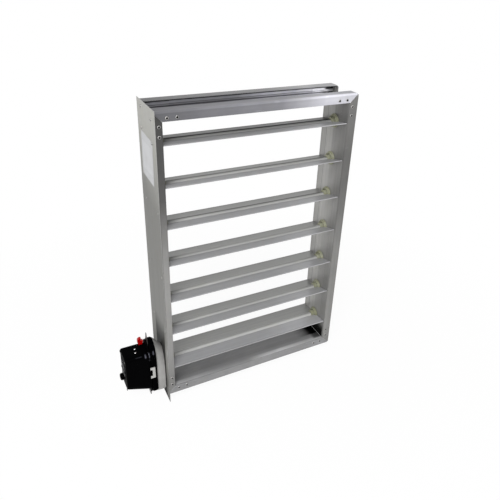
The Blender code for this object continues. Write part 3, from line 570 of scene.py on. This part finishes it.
def refine(node, material, bevel, steps=2, edge_material=None, inside=None, edge_limits=None):
    """Stand a welded copy of a CAD node, with rounded edges, in that node's place.

    The rounded edges have edge_material, where edge_limits hold them, and the faces inside get LIT_INSIDE.
    """
    source = NODES[node]
    bm = bmesh.new()
    bm.from_mesh(source.data)
    bmesh.ops.remove_doubles(bm, verts=bm.verts, dist=WELD)
    bmesh.ops.dissolve_limit(bm, angle_limit=FLAT_ANGLE, verts=bm.verts, edges=bm.edges)
    for face in bm.faces:
        face.material_index = 0
    edges = [edge for edge in bm.edges
             if len(edge.link_faces) == 2 and edge.calc_face_angle() > EDGE_ANGLE]
    materials = [material]
    if edge_material:
        materials.append(edge_material)
    bmesh.ops.bevel(bm, geom=edges, offset=bevel, segments=steps, profile=0.5, affect="EDGES",
                    clamp_overlap=True, material=len(materials) - 1)
    if edge_limits:
        for face in bm.faces:
            if not within(face, edge_limits):
                face.material_index = 0
    if inside:
        materials.append(LIT_INSIDE)
        for face in bm.faces:
            if within(face, inside):
                face.material_index = len(materials) - 1
    piece = new_piece(node + "_look", bm, materials, source["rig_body"])
    piece.modifiers.new("normals", "WEIGHTED_NORMAL").keep_sharp = True
    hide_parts(node)


def spin(profile, segments):
    """Closed solid of revolution about Z from (radius, height) points; both ends on the axis."""
    bm = bmesh.new()
    rings = []
    for radius, height in profile:
        if radius == 0:
            rings.append([bm.verts.new((0, 0, height))])
        else:
            step = 2 * math.pi / segments
            rings.append([bm.verts.new((radius * math.cos(step * k), radius * math.sin(step * k), height))
                          for k in range(segments)])
    for first, second in zip(rings, rings[1:]):
        for k in range(segments):
            corners = [first[k % len(first)], first[(k + 1) % len(first)],
                       second[(k + 1) % len(second)], second[k % len(second)]]
            bm.faces.new(list(dict.fromkeys(corners)))
    bmesh.ops.recalc_face_normals(bm, faces=bm.faces)
    return bm


def stood(place, direction):
    """Transform that stands a part's Z axis along a direction, at a place."""
    turn = Vector(direction).to_track_quat("Z", "Y").to_matrix().to_4x4()
    return Matrix.Translation(place) @ turn


# Blade hubs, rounder than the solids and with moulded webs

HUB_SEGMENTS = 48
HUB_RADIUS = 0.018
HUB_THICKNESS = 0.0018
HUB_EDGE = 0.0005           # chamfer of every outer edge
HUB_WEBS = 8
WEB_DEPTH = 0.0022          # from the ring's rim down to a web
BARREL_RADIUS = 0.0098
BARREL_LENGTH = 0.0125
COLLAR_RADIUS = 0.0155
COLLAR_INNER_RADIUS = 0.0124
COLLAR_THICKNESS = 0.0042
COLLAR_FLOOR = 0.0006
JOURNAL_RADIUS = 0.008
JOURNAL_END = 0.234
SHAFT_RADIUS = 0.004
SPIGOT_LENGTH = 0.030
BORE_RADIUS = 0.0043
BLADE_END = 0.2301
HUB_FACE = BLADE_END - HUB_THICKNESS
BARREL_FACE = HUB_FACE - BARREL_LENGTH
SPIGOT_END = BARREL_FACE - SPIGOT_LENGTH


def hub_outline(floor, tail, bore):
    """(x, radius) points from the spigot to the journal; floor is the level inside the ring."""
    rim = HUB_FACE - COLLAR_THICKNESS
    start = [(SPIGOT_END, bore), (SPIGOT_END, SHAFT_RADIUS)] if bore == 0 else [(BARREL_FACE, bore)]
    points = start + [
        (BARREL_FACE, max(bore, SHAFT_RADIUS) + HUB_EDGE), (BARREL_FACE, BARREL_RADIUS - HUB_EDGE),
        (BARREL_FACE + HUB_EDGE, BARREL_RADIUS), (floor, BARREL_RADIUS), (floor, COLLAR_INNER_RADIUS),
        (rim + HUB_EDGE, COLLAR_INNER_RADIUS), (rim, COLLAR_INNER_RADIUS + HUB_EDGE),
        (rim, COLLAR_RADIUS - HUB_EDGE), (rim + HUB_EDGE, COLLAR_RADIUS), (HUB_FACE, COLLAR_RADIUS),
        (HUB_FACE, HUB_RADIUS - HUB_EDGE), (HUB_FACE + HUB_EDGE, HUB_RADIUS), (BLADE_END, HUB_RADIUS),
        (BLADE_END, JOURNAL_RADIUS), (JOURNAL_END - HUB_EDGE, JOURNAL_RADIUS),
        (JOURNAL_END, JOURNAL_RADIUS - HUB_EDGE)]
    if tail > JOURNAL_END:
        points += [(JOURNAL_END, SHAFT_RADIUS), (tail - HUB_EDGE, SHAFT_RADIUS),
                   (tail, SHAFT_RADIUS - HUB_EDGE)]
    return points + [(points[-1][0], bore)]


def hub(node, number, side):
    """Moulded hub; thin webs cross the ring's inside at even angles."""
    low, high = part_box(node)
    reach = max(abs(low[0]), abs(high[0]))
    bore = BORE_RADIUS if node == "drive_hub_1" else 0
    tail = reach if reach > JOURNAL_END + HUB_EDGE else 0
    center = Vector((0, MIDDLE_Y, DRIVE_Z + (number - 1) * PITCH))
    bm = bmesh.new()
    rings = []
    for step in range(HUB_SEGMENTS):
        on_web = step % (HUB_SEGMENTS // HUB_WEBS) == 0
        floor = HUB_FACE - (COLLAR_THICKNESS - WEB_DEPTH if on_web else COLLAR_FLOOR)
        angle = 2 * math.pi * step / HUB_SEGMENTS
        across, up = math.cos(angle), math.sin(angle)
        rings.append([bm.verts.new(center + Vector((side * x, radius * across, radius * up)))
                      for x, radius in hub_outline(floor, tail, bore)])
    for first, second in zip(rings, rings[1:] + rings[:1]):
        for k in range(len(first) - 1):
            bm.faces.new([first[k], first[k + 1], second[k + 1], second[k]])
        if bore:
            bm.faces.new([first[-1], first[0], second[0], second[-1]])
    bmesh.ops.remove_doubles(bm, verts=bm.verts, dist=WELD)
    bmesh.ops.recalc_face_normals(bm, faces=bm.faces)
    piece = new_piece(node + "_look", bm, [NYLON], NODES[node]["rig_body"])
    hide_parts(node)


# CAD nodes with better finishes

top_low, top_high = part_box("top_rail")
SKIN = 0.0012               # depth of the outer surfaces that the channel's inside leaves out
CHANNEL = ((top_low[0] - 1, top_low[1] + SKIN, TOP_Z + SKIN),
           (top_high[0] + 1, top_high[1] - SKIN, top_high[2] - SKIN))
BRIGHT_TOP = ((-0.20, -1, -1), (1, 1, 1))           # the top rail's edges left of this are dull
BRIGHT_DRIVE = ((-1, -1, -1), (1, 1, 0.66))         # and so are the drive rail's above this
HIGHLIT_EDGES = ((-0.325, -0.100, 0.095), (-0.260, -0.068, 0.122))     # case edges with a painted highlight
SHEET_EDGE = 0.0003
BLADE_EDGE = 0.0002

refine("top_rail", TOP_RAIL, SHEET_EDGE, edge_material=EDGE, inside=CHANNEL, edge_limits=BRIGHT_TOP)
refine("bottom_rail", BOTTOM_RAIL, SHEET_EDGE, edge_material=EDGE)
refine("drive_side_rail", DRIVE_RAIL, SHEET_EDGE, edge_material=EDGE, edge_limits=BRIGHT_DRIVE)
refine("idle_side_rail", IDLE_RAIL, SHEET_EDGE, edge_material=EDGE)
refine("cover_plate", PLATE, SHEET_EDGE, edge_material=EDGE)
for name in sorted(NODES):
    if name.startswith("cleat_"):
        refine(name, LIT_INSIDE if "_rear_top_" in name else CLEAT, SHEET_EDGE)
for number in BLADES:
    refine(f"blade_{number}", BLADE, BLADE_EDGE, edge_material=EDGE)
    hub(f"idle_hub_{number}", number, 1)
    hub(f"drive_hub_{number}", number, -1)
    refine(f"crank_{number}", LINKAGE, SHEET_EDGE)
refine("link_bar", LINKAGE, SHEET_EDGE)
refine("drive_shaft", SHAFT, bevel=0.0004)
refine("output_sleeve", SLEEVE, bevel=0.0003)
refine("position_dial", DIAL, bevel=0.0004)
refine("mounting_adapter", ADAPTER, bevel=0.0010, steps=3)
refine("actuator_base", CASE, bevel=0.0004, edge_material=CASE_HIGHLIGHT_AND_TICKS, edge_limits=HIGHLIT_EDGES)
refine("anti_rotation_strap", STRAP, SHEET_EDGE)
refine("actuator_housing", CASE, bevel=0.0006, steps=3, edge_material=CASE_HIGHLIGHT_AND_TICKS, edge_limits=HIGHLIT_EDGES)
refine("release_button", BUTTON, bevel=0.0008, steps=3)
refine("retaining_clip", CLIP, bevel=0.0004)
refine("cable_gland", CASE, bevel=0.0005)


# Rivets of the frame's corners

RIVET_RADIUS = 0.0036
RIVET_HEIGHT = 0.0013
RIVET_SEGMENTS = 24
RIVET_STEPS = 6
RIVET_RIM = 0.25            # the next three are shares of the rivet's height
MANDREL_RIM = 0.35
MANDREL_TOP = 0.5
MANDREL_RADIUS = 0.0025
RIVET_LINE = 0.0078         # from the airway's edge
RIVET_REACHES = (0.0095, 0.0312)    # from the airway's corner, along the edge


def rivet_profile():
    """Blind rivet: low domed flange with a mandrel sunk in its middle, painted dark as shade."""
    width = RIVET_RADIUS - MANDREL_RADIUS
    dome = []
    for step in range(RIVET_STEPS + 1):
        angle = math.pi / 2 * step / RIVET_STEPS
        rise = RIVET_RIM + (1 - RIVET_RIM) * math.sin(angle)
        dome.append((MANDREL_RADIUS + width * math.cos(angle), RIVET_HEIGHT * rise))
    mandrel = [(MANDREL_RADIUS, RIVET_HEIGHT * MANDREL_RIM), (0, RIVET_HEIGHT * MANDREL_TOP)]
    return [(0, 0), (RIVET_RADIUS, 0)] + dome + mandrel


def rivets(name, places, direction):
    """One piece with a rivet at each place."""
    joined = bmesh.new()
    for place in places:
        head = spin(rivet_profile(), RIVET_SEGMENTS)
        for face in head.faces:
            reach = max(math.hypot(vert.co.x, vert.co.y) for vert in face.verts)
            sunk = reach < MANDREL_RADIUS + WELD and face.calc_center_median().z > 0
            face.material_index = 1 if sunk else 0
        head.transform(stood(place, direction))
        gather(joined, head)
    new_piece(name, joined, [FASTENER, DARK], "frame")


for face_name, level, way in (("front", -DEPTH, -1), ("rear", 0.0, 1)):
    places = []
    for corner_z, z_side in ((TOP_Z, 1), (BOTTOM_Z, -1)):
        for x_side in (-1, 1):
            for reach in RIVET_REACHES:
                places.append((x_side * (SIDE_X - reach), level, corner_z + z_side * RIVET_LINE))
                places.append((x_side * (SIDE_X + RIVET_LINE), level, corner_z - z_side * reach))
    rivets(f"rivets_{face_name}", places, (0, way, 0))


# Thin bright seam in the bottom corner's painted dark reflection

SEAM_RADIUS = 0.0006
SEAM_START = -0.104
SEAM_LENGTH = 0.059
SEAM_SEGMENTS = 12

seam = spin([(0, 0), (SEAM_RADIUS, 0), (SEAM_RADIUS, SEAM_LENGTH), (0, SEAM_LENGTH)], SEAM_SEGMENTS)
seam_place = (SIDE_X - SEAM_RADIUS / 2, SEAM_START, BOTTOM_Z + SEAM_RADIUS / 2)
seam.transform(stood(seam_place, (0, 1, 0)))
new_piece("corner_seam", seam, [EDGE], "frame")


# Hexagon-head screws of the cover plate

OUTWARD = (-1, 0, 0)        # away from the plate and from the actuator's far face
WASHER_RADIUS = 0.0036
WASHER_HEIGHT = 0.0005
WASHER_SEGMENTS = 32
WASHER_RIM = 0.6            # shares of its height and radius, round its top
WASHER_FLAT = 0.93
HEXAGON_RADIUS = 0.0028
HEXAGON_HEIGHT = 0.0018
HEXAGON_SEAT = 0.8          # share of the washer's height
HEXAGON_RIM = 0.85          # shares of the hexagon's height and radius, round its top
HEXAGON_FLAT = 0.88
DIMPLE_EDGE = 0.55
DIMPLE_FLOOR = 0.40
SCREW_PLACES = ((-0.010, 0.7366), (-0.010, 0.6892), (-0.0835, 0.7270), (-0.0835, 0.6760))
SMALL_SCREW_SIZE = 0.7
SMALL_SCREW_PLACES = [(y, z) for y in (-0.010, -0.0995) for z in (0.520, 0.352, 0.190)]


def hexagon_screw(size):
    """Washer, hexagon with a chamfered top and a shallow dimple in it."""
    screw = spin([(0, 0), (WASHER_RADIUS, 0), (WASHER_RADIUS, WASHER_HEIGHT * WASHER_RIM),
                  (WASHER_RADIUS * WASHER_FLAT, WASHER_HEIGHT), (0, WASHER_HEIGHT)], WASHER_SEGMENTS)
    base = WASHER_HEIGHT * HEXAGON_SEAT
    rim = HEXAGON_HEIGHT * HEXAGON_RIM
    hexagon = spin([(0, base), (HEXAGON_RADIUS, base), (HEXAGON_RADIUS, rim),
                    (HEXAGON_RADIUS * HEXAGON_FLAT, HEXAGON_HEIGHT),
                    (HEXAGON_RADIUS * DIMPLE_EDGE, HEXAGON_HEIGHT),
                    (HEXAGON_RADIUS * DIMPLE_FLOOR, rim), (0, rim)], 6)
    gather(screw, hexagon)
    screw.transform(Matrix.Scale(size, 4))
    return screw


def plate_screws(name, places, size):
    """One piece with a screw at each (y, z) place on the cover plate."""
    joined = bmesh.new()
    for y, z in places:
        screw = hexagon_screw(size)
        screw.transform(stood((PLATE_X, y, z), OUTWARD))
        gather(joined, screw)
    new_piece(name, joined, [CLEAT], "frame")


plate_screws("plate_screws", SCREW_PLACES, 1.0)
plate_screws("small_plate_screws", SMALL_SCREW_PLACES, SMALL_SCREW_SIZE)


# Bare label on the cover plate

LABEL_MIDDLE = (-0.0415, 0.6290)
LABEL_SIZE = (0.083, 0.102)
LABEL_THICKNESS = 0.0003
LABEL_CORNER = 0.003
LABEL_TURN = math.radians(2.5)
PANEL_MARGIN = (0.005, 0.017)       # beside the printed frame, and above and below it
FRAME_WIDTH = 0.0007
PRINT_FADE = 0.0002
RULE_SPACING = 0.0065
RULE_WIDTH = 0.0004
FILM_COLOR = (0.40, 0.404, 0.415)
PANEL_COLOR = (0.47, 0.474, 0.487)
RULE_COLOR = (0.25, 0.25, 0.27)
FRAME_COLOR = (0.22, 0.22, 0.24)
GRIME_COLOR = (0.33, 0.32, 0.30)


def label_look():
    """Pale film with a printed frame, thin rules and a plain strip above and below; no lettering."""
    look = Look("label_film", FILM_COLOR, 0.38)
    look.set("Specular IOR Level", 0.3)
    y, z = LABEL_MIDDLE
    half_y, half_z = LABEL_SIZE[0] / 2 - PANEL_MARGIN[0], LABEL_SIZE[1] / 2 - PANEL_MARGIN[1]
    outer = (("y", y - half_y, y + half_y), ("z", z - half_z, z + half_z))
    inner = [(axis, low + FRAME_WIDTH, high - FRAME_WIDTH) for axis, low, high in outer]
    panel = window(look, inner, PRINT_FADE)
    frame_line = look.calc("SUBTRACT", window(look, outer, PRINT_FADE), panel)
    place = look.calc("PINGPONG", look.coordinate("z"), RULE_SPACING / 2)
    rules = look.calc("MULTIPLY", look.span(place, RULE_WIDTH / 2, RULE_WIDTH, 1.0, 0.0), panel)
    grime = look.span(look.noise(26.0, detail=5.0, rough=0.6), 0.45, 0.75)
    body = opaque(FILM_COLOR)
    for area, strength, color in ((panel, 0.5, PANEL_COLOR), (rules, 0.35, RULE_COLOR),
                                  (frame_line, 0.6, FRAME_COLOR), (grime, 0.25, GRIME_COLOR)):
        body = look.mix(look.calc("MULTIPLY", area, strength), body, opaque(color))
    return look.paint(Base_Color=body, Roughness=look.span(grime, 0.0, 1.0, 0.34, 0.5))


label = bmesh.new()
bmesh.ops.create_cube(label, size=1.0, matrix=Matrix.Diagonal((LABEL_THICKNESS, *LABEL_SIZE, 1.0)))
corners = [edge for edge in label.edges
           if abs(edge.verts[0].co.x - edge.verts[1].co.x) > LABEL_THICKNESS / 2]
bmesh.ops.bevel(label, geom=corners, offset=LABEL_CORNER, segments=6, profile=0.5, affect="EDGES")
label_place = (PLATE_X - LABEL_THICKNESS / 2, *LABEL_MIDDLE)
label.transform(Matrix.Translation(label_place) @ Matrix.Rotation(LABEL_TURN, 4, "X"))
new_piece("plate_label", label, [label_look()], "frame")


# Small parts of the actuator's case, with profiles of (radius, height) points

case_low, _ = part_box("actuator_housing")
CASE_X = case_low[0]
CASE_TOP = 0.1195           # level that carries the two studs
CASE_SCREW_INSET = 0.0235
CASE_SCREW_LEVELS = (0.1105, 0.0205)
SOCKET_HEAD = ((0, 0), (0.0030, 0), (0.0030, 0.0009), (0.0026, 0.0013), (0, 0.0013))
SOCKET = ((0, 0.0014), (0.0015, 0.0014), (0.0013, 0.00135), (0.0012, 0.00132), (0, 0.00132))
TICK_COUNT = 10
TICK_ARC = 90               # degrees, round the dial's upper side
TICK_INNER = 0.0200
TICK_LENGTH = 0.0030
TICK_WIDTH = 0.0007
TICK_HEIGHT = 0.0003
STUD = ((0, 0), (0.0019, 0), (0.0019, 0.0006), (0.0014, 0.0011), (0, 0.0012))
STUD_SEGMENTS = 24
STUD_STRETCH = 1.5
STUD_PLACES = ((-0.3154, -0.0499), (-0.3175, -0.0637))


def socket_screw():
    """Low round head with a hexagon socket painted dark as shade."""
    screw = spin(SOCKET_HEAD, WASHER_SEGMENTS)
    socket = spin(SOCKET, 6)
    for face in socket.faces:
        face.material_index = 1
    gather(screw, socket)
    return screw


case_screws = bmesh.new()
for y_side in (-1, 1):
    for z in CASE_SCREW_LEVELS:
        screw = socket_screw()
        screw.transform(stood((CASE_X, MIDDLE_Y + y_side * CASE_SCREW_INSET, z), OUTWARD))
        gather(case_screws, screw)
new_piece("case_screws", case_screws, [STRAP, DARK], "frame")

tick_size = Matrix.Diagonal((2 * TICK_HEIGHT, TICK_WIDTH, TICK_LENGTH, 1.0))
tick_reach = Matrix.Translation((0, 0, TICK_INNER + TICK_LENGTH / 2))
dial_middle = Matrix.Translation((CASE_X, MIDDLE_Y, DRIVE_Z))
ticks = bmesh.new()
for step in range(TICK_COUNT + 1):
    angle = math.radians(-TICK_ARC / 2 + TICK_ARC * step / TICK_COUNT)
    tick = bmesh.new()
    bmesh.ops.create_cube(tick, size=1.0, matrix=tick_size)
    tick.transform(dial_middle @ Matrix.Rotation(angle, 4, "X") @ tick_reach)
    gather(ticks, tick)
new_piece("dial_ticks", ticks, [CASE_HIGHLIGHT_AND_TICKS], "frame")

studs = bmesh.new()
for x, y in STUD_PLACES:
    stud = spin(STUD, STUD_SEGMENTS)
    stud.transform(Matrix.Translation((x, y, CASE_TOP)) @ Matrix.Diagonal((STUD_STRETCH, 1.0, 1.0, 1.0)))
    gather(studs, stud)
new_piece("case_studs", studs, [FASTENER], "frame")


# Camera at the photograph's viewing angle

IMAGE_SIZE = 500
SENSOR_WIDTH = 36
YAW = 0.4985
PITCH_ANGLE = -0.4786
ROLL = 0.0468
FOCAL_PIXELS = 520.07
CENTRE_PIXEL = (263.97, 219.74)
CAMERA_PLACE = (-0.5283, -1.1019, 1.0438)

forward = Vector((math.sin(YAW) * math.cos(PITCH_ANGLE), math.cos(YAW) * math.cos(PITCH_ANGLE),
                  math.sin(PITCH_ANGLE)))
level_right = Vector((math.cos(YAW), -math.sin(YAW), 0))
level_up = level_right.cross(forward)
right = math.cos(ROLL) * level_right + math.sin(ROLL) * level_up
up = -math.sin(ROLL) * level_right + math.cos(ROLL) * level_up
camera_data = bpy.data.cameras.new("camera")
camera_data.sensor_width = SENSOR_WIDTH
camera_data.lens = FOCAL_PIXELS * SENSOR_WIDTH / IMAGE_SIZE
camera_data.shift_x = (IMAGE_SIZE / 2 - CENTRE_PIXEL[0]) / IMAGE_SIZE
camera_data.shift_y = (CENTRE_PIXEL[1] - IMAGE_SIZE / 2) / IMAGE_SIZE
camera = bpy.data.objects.new("camera", camera_data)
turn = Matrix((right, up, -forward)).transposed().to_4x4()
camera.matrix_world = Matrix.Translation(CAMERA_PLACE) @ turn
bpy.context.scene.collection.objects.link(camera)
bpy.context.scene.camera = camera


# World: white where it is seen or mirrored, and dimmer as a light

WORLD_LIGHT = 0.38
WORLD_SHOWN = 1.0

world = bpy.data.worlds.new("studio")
world.use_nodes = True
bpy.context.scene.world = world
background = world.node_tree.nodes["Background"]
background.inputs["Color"].default_value = WHITE
surroundings = Graph(world.node_tree)
strength = surroundings.span(surroundings.shown(), 0.0, 1.0, WORLD_LIGHT, WORLD_SHOWN)
surroundings.feed(background.inputs["Strength"], strength)


# Floor, which turns into plain background away from the object

FLOOR_Z = -0.0397
FLOOR_RADIUS = 9.0
FLOOR_SEGMENTS = 64
FLOOR_COLOR = (0.95, 0.95, 0.95)
FLOOR_ROUGHNESS = 0.9
FLOOR_NEAR = 0.45           # radii between which the share of background rises to 1
FLOOR_FAR = 1.10
NEAR_SHARE = 0.95

floor_mesh = bmesh.new()
bmesh.ops.create_circle(floor_mesh, cap_ends=True, segments=FLOOR_SEGMENTS, radius=FLOOR_RADIUS,
                        matrix=Matrix.Translation((0, 0, FLOOR_Z)))
floor_data = bpy.data.meshes.new("floor")
floor_mesh.to_mesh(floor_data)
floor_mesh.free()
floor = bpy.data.objects.new("floor", floor_data)
bpy.context.scene.collection.objects.link(floor)
floor_look = Look("floor", FLOOR_COLOR, FLOOR_ROUGHNESS)
reach = floor_look.add("ShaderNodeVectorMath", operation="LENGTH")
floor_look.feed(reach.inputs[0], floor_look.coords)
share = floor_look.span(reach.outputs["Value"], FLOOR_NEAR, FLOOR_FAR, NEAR_SHARE, 1.0)
glow = floor_look.add("ShaderNodeEmission")
glow.inputs["Color"].default_value = WHITE
blend = floor_look.add("ShaderNodeMixShader")
floor_look.feed(blend.inputs[0], floor_look.calc("MULTIPLY", floor_look.shown(), share))
floor_look.feed(blend.inputs[1], floor_look.shader.outputs[0])
floor_look.feed(blend.inputs[2], glow.outputs[0])
floor_look.feed(floor_look.tree.nodes["Material Output"].inputs["Surface"], blend.outputs[0])
floor_data.materials.append(floor_look.material)


# Soft studio lamps, as (name, place, size, power)

LAMP_TARGET = Vector((0, 0, 0.35))
LAMPS = (
    ("key", (-1.25, -1.7, 2.6), 1.1, 62.0),
    ("fill", (-2.4, -1.9, 1.0), 1.2, 34.0),
    ("side", (2.2, -2.4, 0.9), 1.0, 8.0),
)

for name, place, size, power in LAMPS:
    lamp_data = bpy.data.lights.new(name, "AREA")
    lamp_data.shape = "DISK"
    lamp_data.size = size
    lamp_data.energy = power
    lamp = bpy.data.objects.new(name, lamp_data)
    lamp.location = place
    lamp.rotation_euler = (LAMP_TARGET - Vector(place)).to_track_quat("-Z", "Y").to_euler()
    bpy.context.scene.collection.objects.link(lamp)

bpy.context.scene.view_settings.view_transform = "Standard"
